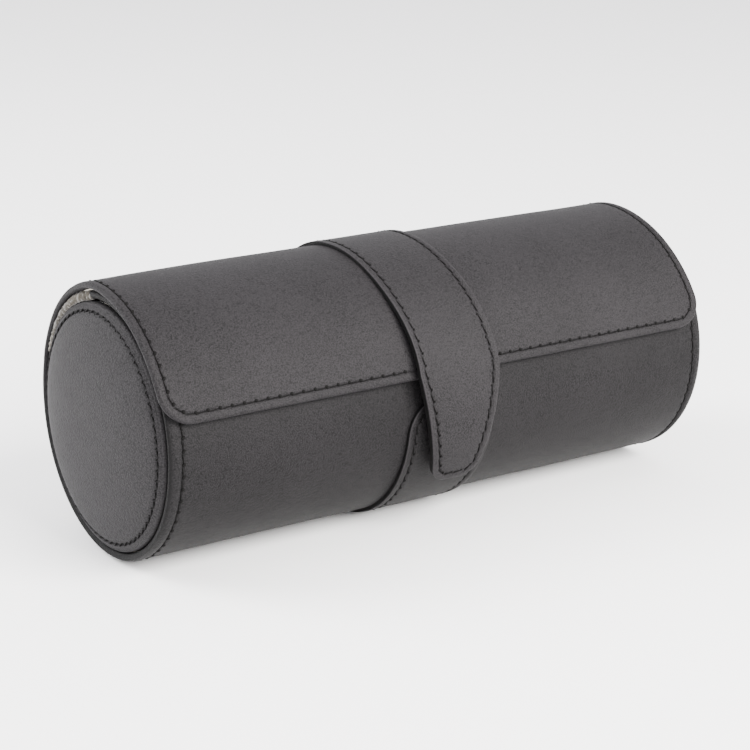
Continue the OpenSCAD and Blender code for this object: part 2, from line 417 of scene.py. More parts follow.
def leather(name, base, gloss, shine, spread=(1, 1, 1)):
    """Smooth dark grey calf with a fine pebble and soft mottling. Painted shade darkens it around the
    wall and belt below the fold, in the seams' grooves, where it also stands for the dark thread, and
    in narrow gaps. Where a strap is cut, its side is painted black, and a painted highlight runs
    along its upper edge."""
    f = Finish(name, IOR=1.45, Specular_IOR_Level=shine)
    where = f.stretched(spread)
    pebble = 1.0 - f.cells(0.00047, where)
    pores = f.noise(0.00031, 0.0, 0.5, where)
    mottle = f.noise(0.0045, 3.0, 0.6, where)
    patches = f.noise(0.035, 2.0, 0.5)
    shade = 0.20 * patches + 0.04 * mottle + 0.60 * pores + 0.50 * pebble
    spots = f.ramp(shade, [(0.43, 0.0), (0.86, 1.0)])
    calf = f.between(spots, plum(base * 0.3), plum(base * 1.75))
    # deep is the same calf in painted shade, blended in where marked darker, over the wall and belt
    # below the fold
    deep = f.between(spots, plum(base * 0.05), plum(base * 1.15))
    shaded_calf = f.between(f.marked("darker").clamped(), calf, deep)
    # painted highlight along a strap's upper edge, where its arris catches the light
    rubbed = (f.marked("rubbed") * (0.25 + 0.5 * mottle)).clamped()
    edge_highlit = f.between(rubbed, shaded_calf, plum(base * 2.6))
    # painted shade in the seams' valleys and in narrow gaps, in the valleys partly standing for the
    # dark thread
    shaded_in_hollows = f.between(f.marked("groove").clamped(), edge_highlit, plum(base * 0.15))
    painted = f.marked("painted").clamped()
    f.set("Base Color", f.between(painted, shaded_in_hollows, grey(0.0022)))
    f.set("Roughness", gloss + 0.12 * pores + 0.08 * mottle + 0.10 * painted)
    grain = 0.6 * pores + 0.8 * pebble
    f.set("Normal", f.bump(grain, 0.00015, 1.0, f.bump(mottle, 0.00022, 0.5)))
    return f.material


def suede(name, low, high):
    """Napped split leather: matt, with brushed patches and a short fuzzy nap."""
    f = Finish(name, IOR=1.4, Sheen_Weight=0.35, Sheen_Roughness=0.6, Specular_IOR_Level=0.2)
    nap = f.noise(0.00035, 4.0, 0.7)
    brushed = f.noise(0.009, 3.0, 0.6, f.stretched((0.6, 1.0, 1.0)))
    shade = (0.55 * brushed + 0.45 * nap).clamped()
    f.set("Base Color", f.between(f.ramp(shade, [(0.3, 0.0), (0.7, 1.0)]), low, high))
    f.set("Roughness", 0.82 + 0.14 * nap)
    f.set("Normal", f.bump(nap, 0.00012, 0.7, f.bump(brushed, 0.0005, 0.4)))
    return f.material


def thread():
    """Waxed black thread with a fine twist."""
    f = Finish("waxed_thread", IOR=1.5, Specular_IOR_Level=0.04)
    twist = f.noise(0.0003, 2.0)
    f.set("Base Color", f.between(twist, grey(0.0016), grey(0.005, 0.04)))
    f.set("Roughness", 0.55 + 0.25 * twist)
    f.set("Normal", f.bump(twist, 0.00005, 0.6))
    return f.material


def pressed_board():
    """Pressed paper board, with short fibres."""
    f = Finish("pressed_board", IOR=1.4, Specular_IOR_Level=0.25)
    fibres = f.noise(0.0009, 4.0, 0.7, f.stretched((0.2, 1.0, 1.0)))
    f.set("Base Color", f.between(fibres, (0.16, 0.13, 0.10, 1), (0.30, 0.26, 0.20, 1)))
    f.set("Roughness", 0.8 + 0.15 * fibres)
    f.set("Normal", f.bump(fibres, 0.00008, 0.5))
    return f.material


def brushed_steel():
    """Plated steel with fine brushed lines."""
    f = Finish("plated_steel", Metallic=1.0)
    lines = f.noise(0.0006, 4.0, 0.7, f.stretched((0.05, 1.0, 1.0)))
    f.set("Base Color", f.between(lines, grey(0.42), grey(0.60)))
    f.set("Roughness", 0.28 + 0.18 * lines)
    f.set("Normal", f.bump(lines, 0.00003, 0.4))
    return f.material


def foam_rubber():
    """Open-celled foam."""
    f = Finish("foam_rubber", IOR=1.4, Specular_IOR_Level=0.2)
    cells = f.cells(0.0009)
    f.set("Base Color", f.between(cells.clamped(), (0.55, 0.52, 0.44, 1), (0.76, 0.73, 0.66, 1)))
    f.set("Roughness", 0.85 + 0.1 * cells)
    f.set("Normal", f.bump(cells, 0.0003, 0.8))
    return f.material


LEATHER = leather("case_leather", base=0.0080, gloss=0.50, shine=0.112)
STRAP_LEATHER = leather("strap_leather", base=0.0079, gloss=0.48, shine=0.114)
END_LEATHER = leather("end_leather", base=0.0092, gloss=0.52, shine=0.135, spread=(1, 0.62, 1))
SUEDE = suede("lining_suede", (0.20, 0.18, 0.15, 1), (0.46, 0.42, 0.35, 1))
# the lining suede again, made far darker: painted shade for the gathers in the gap under the lid
GATHERS_SUEDE_IN_SHADE = suede("gathers_painted_shade_suede", (0.014, 0.012, 0.009, 1), (0.098, 0.085, 0.066, 1))
PILLOW_SUEDE = suede("cushion_suede", (0.24, 0.22, 0.185, 1), (0.52, 0.48, 0.41, 1))
THREAD = thread()
BOARD = pressed_board()
STEEL = brushed_steel()
FOAM = foam_rubber()


# ---- Modelling tools ----


def begin(name, add, **size):
    """Adds a primitive with nothing else selected, and opens it for editing."""
    bpy.ops.object.select_all(action="DESELECT")
    add(**size)
    piece = bpy.context.active_object
    piece.name = piece.data.name = name
    bpy.ops.object.mode_set(mode="EDIT")
    return piece


def take(*pieces):
    """Selects these pieces and nothing else, the first of them active."""
    bpy.ops.object.select_all(action="DESELECT")
    for piece in pieces:
        piece.select_set(True)
    bpy.context.view_layer.objects.active = pieces[0]


def open_up(piece):
    take(piece)
    bpy.ops.object.mode_set(mode="EDIT")


def close_up():
    bpy.ops.object.mode_set(mode="OBJECT")


def pick_all():
    """Selects all that is open."""
    bpy.ops.mesh.select_all(action="SELECT")


def pick_side(piece, way):
    """Selects the faces that look up, with way 1, or down, with way -1."""
    bpy.ops.mesh.select_mode(type="FACE")
    bpy.ops.mesh.select_all(action="DESELECT")
    mesh = bmesh.from_edit_mesh(piece.data)
    for face in mesh.faces:
        face.select_set(face.normal.z * way > 0.9)
    bmesh.update_edit_mesh(piece.data)


def pick_vertex(piece, at):
    """Selects the vertex nearest to a point."""
    bpy.ops.mesh.select_mode(type="VERT")
    bpy.ops.mesh.select_all(action="DESELECT")
    mesh = bmesh.from_edit_mesh(piece.data)
    near = min(mesh.verts, key=lambda v: (v.co - Vector(at)).length)
    near.select_set(True)
    mesh.select_flush_mode()
    bmesh.update_edit_mesh(piece.data)


def thicken(height):
    """Draws the open flat face up into a closed plate."""
    bpy.ops.mesh.extrude_region_move(TRANSFORM_OT_translate={"value": (0, 0, height)})
    pick_all()
    bpy.ops.mesh.normals_make_consistent(inside=False)


def step_in(rings):
    """Insets the selected face ring by ring, each given as (distance in, height)."""
    last_in, last_height = rings[0]
    for ring_in, height in rings[1:]:
        bpy.ops.mesh.inset(
            thickness=ring_in - last_in, depth=height - last_height, use_even_offset=True
        )
        last_in, last_height = ring_in, height


def slice_up(cuts, normal):
    """Cuts all that is open across, at each place along the normal."""
    for at in cuts:
        pick_all()
        bpy.ops.mesh.bisect(
            plane_co=[at * n for n in normal], plane_no=normal, threshold=1e-4
        )


def trim(piece, low=None, high=None):
    """Cuts a flat sheet off below one length and above another, and closes the cuts."""
    open_up(piece)
    for at, way in ((low, -1), (high, 1)):
        if at is not None:
            pick_all()
            bpy.ops.mesh.bisect(
                plane_co=(0, at, 0),
                plane_no=(0, way, 0),
                clear_outer=True,
                use_fill=True,
                threshold=1e-4,
            )
    close_up()
    return piece


def copy_of(piece, name):
    """A copy with its own mesh."""
    made = piece.copy()
    made.data = piece.data.copy()
    made.name = made.data.name = name
    bpy.context.scene.collection.objects.link(made)
    return made


def drop(piece):
    bpy.data.objects.remove(piece, do_unlink=True)


def read_points(piece):
    points = np.zeros(len(piece.data.vertices) * 3)
    piece.data.vertices.foreach_get("co", points)
    return points.reshape(-1, 3)


def write_points(piece, points):
    piece.data.vertices.foreach_set("co", np.ascontiguousarray(points, float).ravel())
    piece.data.update()


def mark(piece, name, values):
    """Writes a number at each vertex, for the shaping and the materials."""
    made = piece.data.attributes.new(name, "FLOAT", "POINT")
    made.data.foreach_set("value", np.asarray(values, np.float32))


def marks_of(piece, name):
    values = np.zeros(len(piece.data.vertices), np.float32)
    piece.data.attributes[name].data.foreach_get("value", values)
    return values


def spaced(first, last, step):
    count = max(1, round(abs(last - first) / step))
    return list(np.linspace(first, last, count + 1))


# Lengths along the tube at which the case's sheets are cut
LONG_CUTS = spaced(-90, 90, 6)


def cuts_past_fold(first, fold_s, last, step):
    """Lengths at which a sheet is cut across, close together where it bends at the fold."""
    return (
        spaced(first, fold_s - FOLD_HALF, step)
        + spaced(fold_s - FOLD_HALF + FOLD_CUT, fold_s + FOLD_HALF, FOLD_CUT)
        + spaced(fold_s + FOLD_HALF + step, last, step)
    )


def edge_distance(points, outline):
    """How far each flat point is from a closed outline."""
    a = np.asarray(outline, float)
    b = np.roll(a, -1, axis=0)
    best = np.full(len(points), 1e9)
    for p, q in zip(a, b):
        d = q - p
        t = np.clip(((points - p) @ d) / max(d @ d, 1e-12), 0, 1)
        best = np.minimum(best, np.linalg.norm(points - p - t[:, None] * d, axis=1))
    return best


def cut_sheet(name, outline, top, under, length_cuts, width_cuts):
    """Cuts and shapes a sheet while it is flat: x along the case, y along its way around it, z over
    its outer face. The outline's corners are (x, y, radius), counter-clockwise. top and under are
    rings of (distance in from the edge, height), from the edge inward. Marks how far in each point
    is, and gives back the piece and its outline."""
    piece = begin(name, bpy.ops.mesh.primitive_circle_add, vertices=len(outline), fill_type="NGON")
    mesh = bmesh.from_edit_mesh(piece.data)
    mesh.verts.ensure_lookup_table()
    waist = top[0][1]
    for vertex, (x, y, _) in zip(mesh.verts, outline):
        vertex.co = (x, y, waist)
    bmesh.update_edit_mesh(piece.data)
    for x, y, radius in outline:
        if radius:
            pick_vertex(piece, (x, y, waist))
            bpy.ops.mesh.bevel(offset=radius, segments=12, affect="VERTICES", profile=0.5)
    close_up()
    face = max(piece.data.polygons, key=lambda p: p.area)
    edge = [tuple(piece.data.vertices[i].co[:2]) for i in face.vertices]
    if face.normal.z < 0:
        edge.reverse()
    open_up(piece)
    pick_all()
    thicken(under[0][1] - waist)
    pick_side(piece, 1)
    step_in(top)
    pick_side(piece, -1)
    step_in([(ring_in, -height) for ring_in, height in under])
    slice_up(length_cuts, (0, 1, 0))
    slice_up(width_cuts, (1, 0, 0))
    close_up()
    mark(piece, "inset", edge_distance(read_points(piece)[:, :2], edge))
    return piece, edge


def sway(points, size, depth, seed=0.0):
    """Soft uneven height over each point, in a field that all pieces share."""
    return np.array(
        [depth * noise.noise(Vector((x / size, y / size, z / size + seed))) for x, y, z in points]
    )


def wrap(piece, way, skew=None, side=1, base=0.0, lift=None, floor=None):
    """Bends a flat sheet around the case and brings it to metres. With side -1 the sheet's
    outer face looks inward."""
    x, along, over = read_points(piece).T
    over = base + side * over
    if lift is not None:
        over = over + lift(x, along)
    if skew is not None:
        x = skew.moved(x, along)
    rest = np.stack(way.place(along, np.zeros(len(x))), axis=1)
    bowed = sway(np.column_stack([x, rest]), 22.0, 0.16)
    y, z = way.place(along, over + bowed)
    if floor is not None:
        z = np.maximum(z, floor)
    write_points(piece, np.column_stack([x, y, z]) * MM)
    if side < 0:
        open_up(piece)
        pick_all()
        bpy.ops.mesh.flip_normals()
        close_up()


def finish_piece(piece, material, body=None, angle=40):
    """Smooths a piece, gives it its material, and sets it on its body."""
    take(piece)
    bpy.ops.object.shade_smooth_by_angle(angle=math.radians(angle))
    piece.data.materials.clear()
    piece.data.materials.append(material)
    if body:
        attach(piece, body)


# ---- Stitches ----


def blob(name, length, width, turn=0.0, place=(0, 0, 0)):
    """A small rounded stroke lying along x, its ends drawn down, then turned about z."""
    piece = begin(name, bpy.ops.mesh.primitive_uv_sphere_add, segments=8, ring_count=6, radius=1)
    pick_all()
    bpy.ops.transform.rotate(value=math.pi / 2, orient_axis="Y", center_override=(0, 0, 0))
    bpy.ops.transform.resize(value=(length / 2, width / 2, width / 2))
    close_up()
    points = read_points(piece)
    points[:, 2] -= 0.42 * width * (np.abs(points[:, 0]) / (length / 2)) ** 3
    write_points(piece, points)
    piece.data.transform(Matrix.Translation(place) @ Matrix.Rotation(turn, 4, "Z"))
    return piece


def join(name, pieces):
    """Makes one piece of several."""
    take(*pieces)
    bpy.ops.object.join()
    pieces[0].name = pieces[0].data.name = name
    return pieces[0]


def make_stitch(pitch, width, bite):
    """One stitch along x: a taut thread, and the thick end that dives into its slanted hole."""
    length, fat, slant = bite
    taut = blob("thread", 0.96 * pitch, width, math.radians(3), (-0.02 * pitch, 0, 0))
    end = blob("bite", length, fat, math.radians(slant), (0.42 * pitch, 0.24, 0.27 - 0.38 * fat))
    return join("stitch", [taut, end])


def inside_line(edge, distance):
    """The outline moved inward."""
    p = np.asarray(edge, float)
    ahead = np.roll(p, -1, axis=0) - p
    ahead /= np.linalg.norm(ahead, axis=1)[:, None]
    normal = np.column_stack([-ahead[:, 1], ahead[:, 0]])
    mitre = normal + np.roll(normal, 1, axis=0)
    mitre /= (mitre * normal).sum(1)[:, None]
    return p + distance * mitre


def walk(line, pitch):
    """Evenly spaced places around a closed line, each with the line's direction there."""
    p = np.vstack([line, line[:1]])
    steps = np.linalg.norm(np.diff(p, axis=0), axis=1)
    at = np.concatenate([[0], np.cumsum(steps)])
    count = int(at[-1] / pitch)
    for s in (np.arange(count) + 0.5) * at[-1] / count:
        i = min(int(np.searchsorted(at, s, side="right")) - 1, len(steps) - 1)
        t = (s - at[i]) / steps[i]
        d = (p[i + 1] - p[i]) / steps[i]
        yield p[i] + t * (p[i + 1] - p[i]), math.atan2(d[1], d[0])


def sew(name, line, height, pitch, width, tilt, bite, keep=None):
    """A row of slanted stitches around a flat line, joined into one piece that is still flat."""
    model = make_stitch(pitch, width, bite)
    made = []
    for (x, y), angle in walk(line, pitch):
        if keep is None or keep(x, y):
            one = copy_of(model, name)
            turn = Matrix.Rotation(angle + math.radians(tilt), 4, "Z")
            one.data.transform(Matrix.Translation((x, y, height)) @ turn)
            made.append(one)
    drop(model)
    return join(name, made)


# ---- Section of a turned edge, a stitched valley and a plain face ----


def turned_edge(seam_in):
    """Rings of a sheet whose leather is skived, turned round the edge and stitched down."""
    valley, swell, rounding = 0.34, 0.08, 1.0
    waist = 0.05 - SKIVED_T / 2
    rings = [(0, waist)]
    for degrees in (15, 30, 45, 60, 75, 90):
        a = math.radians(degrees)
        rings.append((rounding * (1 - math.cos(a)), waist + (swell - waist) * math.sin(a)))
    rings += [
        (rounding + 0.35, swell),
        (seam_in - 1.15, swell),
        (seam_in - 0.75, swell * 0.9),
        (seam_in - 0.38, -valley * 0.35),
        (seam_in, -valley),
        (seam_in + 0.38, -valley * 0.4),
        (seam_in + 0.85, 0.0),
        (seam_in + 3.0, 0.0),
    ]
    return rings


def turned_back(thickness):
    """Rings of the same sheet's inner face, which thickens from the skived edge inward."""
    half = SKIVED_T / 2
    rings = [(0, -half - 0.05)]
    for degrees in (22, 45, 68, 90):
        a = math.radians(degrees)
        rings.append((half * (1 - math.cos(a)), -half - 0.05 - (half - 0.05) * math.sin(a)))
    rings += [(half + 0.7, -SKIVED_T - 0.05), (half + 1.8, -thickness)]
    return rings


def cut_edge(seam_in):
    """Rings of a strap: a cut and burnished edge, then the stitched valley."""
    rounding, valley = 0.28, 0.28
    rings = [(0, -rounding)]
    for degrees in (30, 60, 90):
        a = math.radians(degrees)
        rings.append((rounding * (1 - math.cos(a)), -rounding * (1 - math.sin(a))))
    rings += [
        (rounding + 0.4, 0.04),
        (seam_in - 0.75, 0.08),
        (seam_in - 0.36, -valley * 0.35),
        (seam_in, -valley),
        (seam_in + 0.36, -valley * 0.4),
        (seam_in + 0.85, 0.0),
        (seam_in + 2.4, 0.0),
    ]
    return rings


def cut_back(thickness):
    """Rings of the strap's lower face."""
    rounding = 0.3
    return [
        (0, -thickness + rounding),
        (rounding * 0.3, -thickness + rounding * 0.3),
        (rounding, -thickness),
    ]


# ---- The outer leather: lid, fold and wall, cut as one sheet ----


def clear_of_strap(x, y):
    """The lid's front seam stops where the strap is sewn over it."""
    return abs(x - STRAP_X) >= STRAP_HALF + 0.5 or y >= 20


def case_sheet():
    outline = [
        (-WALL_HALF, 0, LID_CORNER_R),
        (WALL_HALF, 0, LID_CORNER_R),
        (WALL_HALF, FREE_EDGE_S, 0),
        (-WALL_HALF, FREE_EDGE_S, 0),
    ]
    whole, edge = cut_sheet(
        "case_sheet",
        outline,
        turned_edge(SEAM_IN),
        turned_back(SHEET_T),
        cuts_past_fold(2, FOLD_S, FREE_EDGE_S - 2, SHEET_CUT),
        LONG_CUTS,
    )
    line = inside_line(edge, SEAM_IN)
    seam = sew("case_seam", line, -0.12, keep=clear_of_strap, **CASE_STITCH)
    shape_wall_ends(whole)
    for piece in (whole, seam):
        wander(piece)
    # painted shade over the wall below the fold
    paint_shade_below_fold(whole, FOLD_S)
    return whole, seam


def paint_shade_below_fold(sheet, fold_s):
    """Paints shade over the leather below the fold. It is drawn a little darker around the wall than
    over the lid, because the wall faces down away from the light, with no step at the fold.
    """
    fade = 75.0
    share = (read_points(sheet)[:, 1] - fold_s - FOLD_HALF) / fade
    mark(sheet, "darker", np.clip(share, 0, 1))


def seam_shade(sheet, seam_in):
    """How much each point of a sheet's outer face is darkened in the stitched valley, from 0 to 1:
    partly for the dark thread, partly painted shade.
    """
    darkest, half_width = 0.34, 0.30
    near = np.exp(-(((marks_of(sheet, "inset") - seam_in) / half_width) ** 2))
    return darkest * near * (read_points(sheet)[:, 2] > -0.6)


def shape_wall_ends(sheet):
    """Around the wall the leather is pressed over its board, with a soft ridge before the seam.
    The wall's end face and underside, by the narrow gap to its padded end, get painted shade."""
    points = read_points(sheet)
    inset = marks_of(sheet, "inset")
    on_wall = np.clip((points[:, 1] - FOLD_S - FOLD_HALF) / 12, 0, 1)
    outer = on_wall * (points[:, 2] > -0.5)
    ridge = np.exp(-(((inset - 1.75) / 0.5) ** 2))
    hollow = np.exp(-(((inset - 0.55) / 0.4) ** 2))
    points[:, 2] += outer * (0.10 * ridge - 0.22 * hollow)
    full = np.clip((-1.05 - points[:, 2]) / 0.95, 0, 1) * (inset < 2)
    points[:, 2] -= on_wall * full * (SHEET_T - SKIVED_T - 0.05)
    write_points(sheet, points)
    # painted shade on the wall's end face and underside, in the narrow gap by its padded end
    face = on_wall * np.clip((0.8 - inset) / 0.5, 0, 1) * (points[:, 2] > -1.8) * 0.8
    under = on_wall * (points[:, 2] < -1.2) * 0.97
    mark(sheet, "groove", np.maximum(seam_shade(sheet, SEAM_IN), np.maximum(face, under)))


def wander(piece):
    """The seams along the wall's ends stray inward over the front, as sewn by hand."""
    points = read_points(piece)
    x, along = points[:, 0], points[:, 1]
    angle = FOLD_A + np.degrees((along - FOLD_S) / WALL_R)
    left = np.interp(angle, [295, 310, 345, 375, 400, 430], [0, 0.6, 1.1, 1.5, 1.4, 0])
    right = np.interp(angle, [295, 330, 360, 380, 400, 430], [0, 0.5, 0.8, 0.6, 0.5, 0])
    share = np.clip((WALL_HALF - np.abs(x)) / SEAM_IN, 0, 1)
    share *= np.clip((WALL_HALF - 8 - np.abs(x)) / -4, 0, 1)
    points[:, 0] += np.where(x < 0, left, -right) * share
    write_points(piece, points)


def split(whole, names, cuts):
    """Cuts a flat piece into a row of pieces at the given lengths."""
    made = []
    for name, low, high in zip(names, [None] + cuts, cuts + [None]):
        made.append(trim(copy_of(whole, name), low, high))
    drop(whole)
    return made


def islands(mesh):
    """The vertices of each loose part, such as one thread of a seam."""
    seen = set()
    for vertex in mesh.verts:
        if vertex in seen:
            continue
        island, queue = [], [vertex]
        seen.add(vertex)
        while queue:
            reached = queue.pop()
            island.append(reached)
            for edge in reached.link_edges:
                other = edge.other_vert(reached)
                if other not in seen:
                    seen.add(other)
                    queue.append(other)
        yield island


def split_seam(seam, names, cuts):
    """Shares out the stitches between pieces by where each stitch's middle is."""
    made = []
    for name, low, high in zip(names, [-1e9] + cuts, cuts + [1e9]):
        part = copy_of(seam, name)
        open_up(part)
        mesh = bmesh.from_edit_mesh(part.data)
        gone = []
        for island in islands(mesh):
            middle = sum(v.co.y for v in island) / len(island)
            if not low <= middle < high:
                gone += island
        bmesh.ops.delete(mesh, geom=gone, context="VERTS")
        bmesh.update_edit_mesh(part.data)
        close_up()
        made.append(part)
    drop(seam)
    return made


AXIS = Vector((0, 0, AXIS_H))
FOLD_POINT = AXIS + outward(FOLD_A) * WALL_R
FOLD_UP = onward(FOLD_A)
ROOT_POINT = AXIS + outward(LID_EDGE_A) * (LID_R + STRAP_T)
ROOT_DOWN = onward(LID_EDGE_A)


def bend_at_fold(piece):
    reach = FOLD_HALF - 1
    (FOLD_POINT - FOLD_UP * reach) * MM
    (FOLD_POINT + FOLD_UP * reach) * MM
    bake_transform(piece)


def bend_at_root(piece):
    reach = ROOT_HALF - 0.8
    (ROOT_POINT - ROOT_DOWN * reach) * MM
    (ROOT_POINT + ROOT_DOWN * reach) * MM
    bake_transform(piece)


def make_case_leather():
    whole, seam = case_sheet()
    lid, fold, wall = split(whole, ["lid_cover", "fold_cover", "wall_cover"], FOLD_CUTS)
    lid_seam, fold_seam, wall_seam = split_seam(
        seam, ["lid_stitches", "fold_stitches", "wall_stitches"], FOLD_CUTS
    )
    for piece in (lid, fold, wall, lid_seam, fold_seam, wall_seam):
        wrap(piece, SHEET_WAY, LID_SKEW, lift=lid_dip)
    finish_piece(lid, LEATHER, "lid")
    finish_piece(fold, LEATHER)
    finish_piece(wall, LEATHER, "case_body")
    for piece, body in ((lid_seam, "lid"), (fold_seam, None), (wall_seam, "case_body")):
        finish_piece(piece, THREAD, body, angle=80)
    bend_at_fold(fold)
    bend_at_fold(fold_seam)
    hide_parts("lid_leather")
    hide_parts("wall_leather")


# ---- Strap, tab and belt, cut as one strip ----


def strap_sheet():
    outline = [
        (-TAB_TIP_HALF, -TAB_LEN, TAB_TIP_R),
        (TAB_TIP_HALF, -TAB_LEN, TAB_TIP_R),
        (STRAP_HALF, 1, 0),
        (STRAP_HALF, BELT_END_S, BELT_CORNER_R),
        (-STRAP_HALF, BELT_END_S, BELT_CORNER_R),
        (-STRAP_HALF, 1, 0),
    ]
    length_cuts = (
        spaced(2 - TAB_LEN, -ROOT_HALF, TAB_CUT)
        + spaced(ROOT_CUT - ROOT_HALF, ROOT_HALF, ROOT_CUT)
        + cuts_past_fold(ROOT_HALF + STRAP_CUT, STRAP_FOLD_S, BELT_END_S - 2, STRAP_CUT)
    )
    whole, edge = cut_sheet(
        "strap_sheet",
        outline,
        cut_edge(STRAP_SEAM_IN),
        cut_back(STRAP_T),
        length_cuts,
        spaced(-8, 8, 4),
    )
    seam = sew("strap_seam", inside_line(edge, STRAP_SEAM_IN), -0.10, **STRAP_STITCH)
    side_faces = marks_of(whole, "inset") < 0.02
    mark(whole, "painted", side_faces)
    # painted shade in the strap's stitched valley, partly for the dark thread
    mark(whole, "groove", seam_shade(whole, STRAP_SEAM_IN))
    # painted highlight on the strap's upper edge, just inside its painted side
    mark(whole, "rubbed", ~side_faces * np.exp(-((marks_of(whole, "inset") / 0.45) ** 2)))
    # painted shade over the belt below the strap's fold
    paint_shade_below_fold(whole, STRAP_FOLD_S)
    for piece in (whole, seam):
        points = read_points(piece)
        points[:, 0] += STRAP_X
        share = np.clip((ROOT_HALF - points[:, 1]) / (2 * ROOT_HALF), 0, 1)
        deep = np.minimum(points[:, 2] / -STRAP_T, 1)
        points[:, 2] -= (TAB_T - STRAP_T) * share * np.maximum(deep, 0)
        write_points(piece, points)
    return whole, seam


def strap_lift(x, along):
    """How far the strap stands off the lid, at its left edge before the tab."""
    near = np.clip((STRAP_X - STRAP_HALF + 12 - x) / 12, 0, 1)
    flat = np.interp(along, [-12, 0, 14, 40], [0.7, 0.6, 0, -0.5])
    return 1.5 * near**2 * np.exp(-(((along - 10) / 16) ** 2)) + flat


def make_strap():
    whole, seam = strap_sheet()
    cuts = [-ROOT_HALF, ROOT_HALF, STRAP_FOLD_S - FOLD_HALF, STRAP_FOLD_S + FOLD_HALF]
    names = ["tab", "tab_root", "lid_strap", "strap_fold", "belt"]
    parts = split(whole, [n + "_cover" for n in names], cuts)
    seams = split_seam(seam, [n + "_stitches" for n in names], cuts)
    bodies = ["tab", None, "lid", None, "case_body"]
    for part, stitches, body in zip(parts, seams, bodies):
        for piece in (part, stitches):
            wrap(piece, STRAP_WAY, STRAP_SKEW, lift=strap_lift, floor=0.0)
        finish_piece(part, STRAP_LEATHER, body)
        finish_piece(stitches, THREAD, body, angle=80)
    for piece in (parts[1], seams[1]):
        bend_at_root(piece)
    for piece in (parts[3], seams[3]):
        bend_at_fold(piece)
    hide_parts("tab_leather", "tab_backing")
    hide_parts("lid_strap", "lid_strap_backing")
    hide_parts("belt_leather", "belt_backing")


# ---- Suede linings ----


def lining_sheet():
    inset, side_inset = 3.0, 2.25
    half, far = WALL_HALF - side_inset, FREE_EDGE_S - inset - 1
    outline = [
        (-half, inset, LID_CORNER_R - inset),
        (half, inset, LID_CORNER_R - inset),
        (half, far, 0),
        (-half, far, 0),
    ]
    length_cuts = cuts_past_fold(5, FOLD_S, FREE_EDGE_S - 6, SHEET_CUT)
    top = [(0, -0.15), (0.08, -0.04), (0.25, 0.0), (1.2, 0.06), (2.4, 0.0), (5, 0)]
    under = [(0, -0.3), (0.3, -0.5)]
    whole, _ = cut_sheet("lining_sheet", outline, top, under, length_cuts, LONG_CUTS)
    return whole


def lining_lift(x, along):
    """The lining follows the lid's dip and stands off the leather a little at the fold."""
    return lid_dip(x, along) - np.interp(np.abs(along - FOLD_S), [3.5, 8], [0.22, 0])


def make_lining():
    parts = split(lining_sheet(), ["lid_suede", "fold_suede", "wall_suede"], FOLD_CUTS)
    for piece, body in zip(parts, ["lid", None, "case_body"]):
        wrap(piece, SHEET_WAY, LID_SKEW, side=-1, base=-SHEET_T - 0.12, lift=lining_lift)
        finish_piece(piece, SUEDE, body)
    bend_at_fold(parts[1])
    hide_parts("lid_lining")
    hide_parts("wall_lining")


# ---- Padded ends ----

LEFT, RIGHT = -1, 1
SIDE_NAMES = {LEFT: "left", RIGHT: "right"}


def to_end(piece, side):
    """Turns a disc made around z, its face up, to an end of the tube."""
    u, v, w = read_points(piece).T
    write_points(piece, np.column_stack([side * w, side * u, AXIS_H - END_DROP + v]) * MM)


def end_rings():
    """Radius and height of the cover, from its waist over the rim and the seam to the middle."""
    rim_x = RING_X - RIM_DROP
    rings = [
        (END_R, rim_x - 1.4),
        (END_R - 0.06, rim_x - 0.8),
        (END_R - 0.22, rim_x - 0.35),
        (END_R - 0.48, rim_x + 0.0),
        (END_R - 0.84, rim_x + 0.24),
        (END_R - 1.00, rim_x + 0.23),
        (END_R - 1.16, rim_x + 0.38),
        (END_R - 1.60, rim_x + 0.64),
        (RING_R + 0.62, RING_X - 0.14),
        (RING_R + 0.34, RING_X - 0.28),
        (RING_R, RING_X - 0.52),
        (RING_R - 0.34, RING_X - 0.22),
    ]
    radius = RING_R - 0.9
    while radius > 1.0:
        rings.append((radius, RING_X + DOME_H * (1 - (radius / RING_R) ** 3)))
        radius -= 1.6
    return [(END_R - radius, height) for radius, height in rings]


def make_end_disc():
    """The padded cover, turned over its board's edge at the back."""
    rings = end_rings()
    piece = begin(
        "end_disc",
        bpy.ops.mesh.primitive_circle_add,
        vertices=144,
        radius=END_R,
        fill_type="NGON",
        location=(0, 0, 0),
    )
    back = END_BACK_X + 0.4
    pick_all()
    bpy.ops.transform.translate(value=(0, 0, back))
    thicken(rings[0][1] - back)
    pick_side(piece, 1)
    step_in(rings)
    bpy.ops.mesh.merge(type="CENTER")
    pick_side(piece, -1)
    step_in([(0, 0), (0.12, 0.28), (0.4, 0.4), (6, 0.4)])
    close_up()
    x, y, height = read_points(piece).T
    off = np.hypot(x, y) - RING_R
    # painted shade in the ring seam's valley, partly for the dark thread
    valley = 0.5 * np.exp(-((off / 0.32) ** 2))
    # painted shade on the disc's side below its rim, in the gap under the lid and wall
    side = np.clip((RING_X - RIM_DROP - 0.55 - height) / 0.4, 0, 1) * 0.97
    mark(piece, "groove", np.maximum(valley, side))
    return piece


def make_end_facing():
    """The suede that faces the end's board on the inside."""
    facing = begin(
        "end_suede",
        bpy.ops.mesh.primitive_circle_add,
        vertices=96,
        radius=FACING_R,
        fill_type="NGON",
    )
    pick_all()
    bpy.ops.transform.translate(value=(0, 0, END_BACK_X - 0.05))
    thicken(END_FACE_X + 0.3 - END_BACK_X)
    pick_side(facing, -1)
    step_in([(0, 0), (0.1, 0.2), (0.4, 0.3), (2.5, 0.4), (8, 0.35), (15, 0.4), (25, 0.38)])
    close_up()
    return facing


